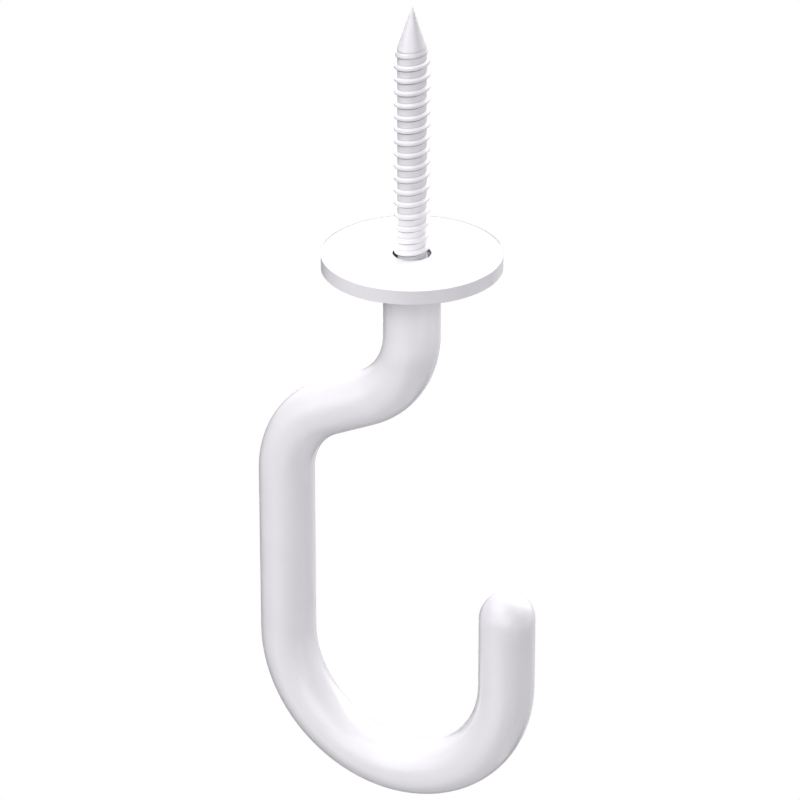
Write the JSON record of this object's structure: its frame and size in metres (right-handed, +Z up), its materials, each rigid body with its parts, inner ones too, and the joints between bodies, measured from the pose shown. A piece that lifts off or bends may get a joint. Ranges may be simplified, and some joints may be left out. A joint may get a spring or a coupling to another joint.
{
  "type": "ceiling hook",
  "caption": "White coated ceiling hook: an offset J of round steel wire with a wood screw on its upper end and a loose flat washer that bears on the ceiling.",
  "frame": {"origin": "on the screw's axis, at the washer's top face, which lies against the ceiling", "axes": "+Z up along the screw into the ceiling, +X from the upright towards the hook's tip, +Y across the wire"},
  "size_m": [0.0347, 0.0198, 0.0966],
  "materials": {
    "white_coat": "smooth satin white coat"
  },
  "bodies": {
    "root": {"hook": "white_coat", "washer": "white_coat"}
  },
  "joints": []
}
